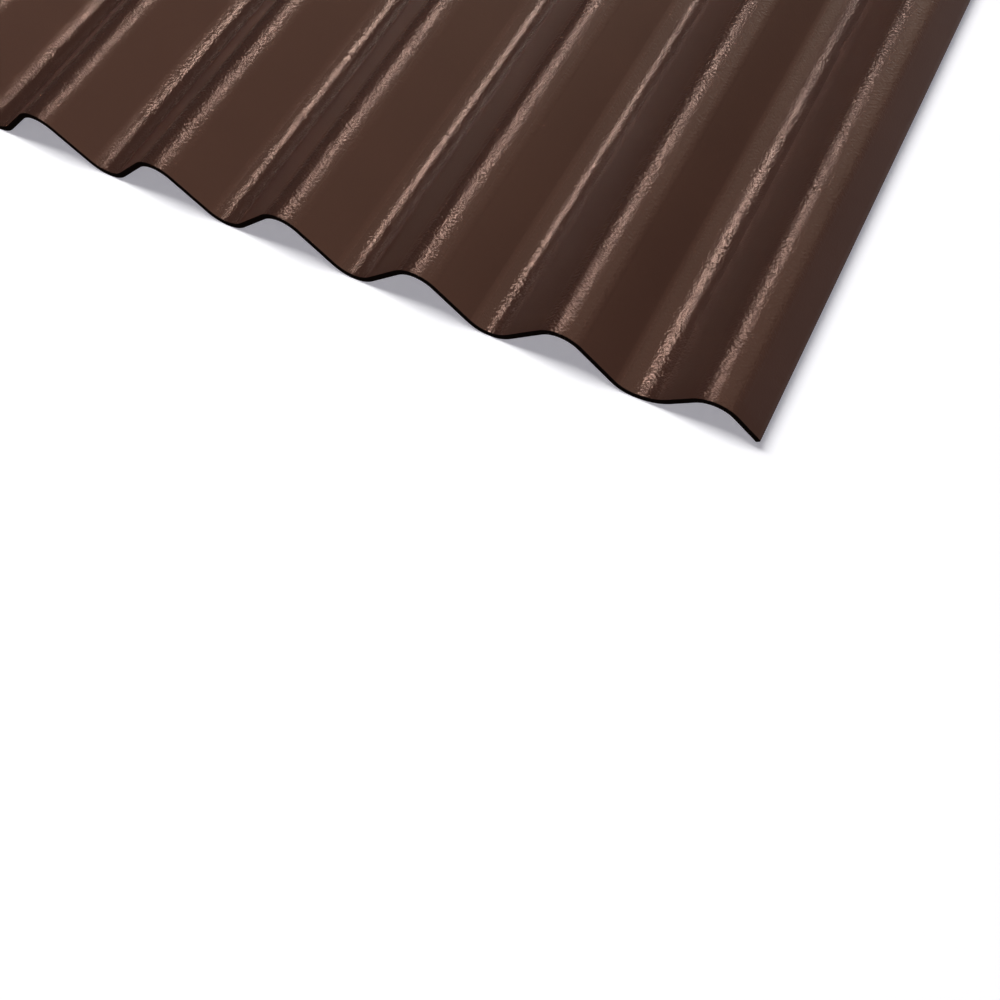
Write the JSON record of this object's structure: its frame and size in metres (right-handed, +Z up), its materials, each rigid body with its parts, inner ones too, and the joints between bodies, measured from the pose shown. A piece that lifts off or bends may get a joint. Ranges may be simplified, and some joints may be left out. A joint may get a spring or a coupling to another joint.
{
  "type": "corrugated fiber cement sheet",
  "caption": "Long wavy roofing and cladding sheet of fibre cement with a dark brown coat, one covering side edge and, on the other side, one lower wave that goes under the sheet beside it.",
  "frame": {"origin": "middle of the outline, on the plane that the undersides of the troughs rest on", "axes": "+X across the waves towards the underlapping edge, +Y along the waves, +Z up to the coated face"},
  "size_m": [1.13, 1.75, 0.0518],
  "materials": {
    "coated_fibre_cement": "semi-gloss dark brown acrylic coat over grey fibre cement"
  },
  "bodies": {
    "root": {"sheet": "coated_fibre_cement"}
  },
  "joints": []
}
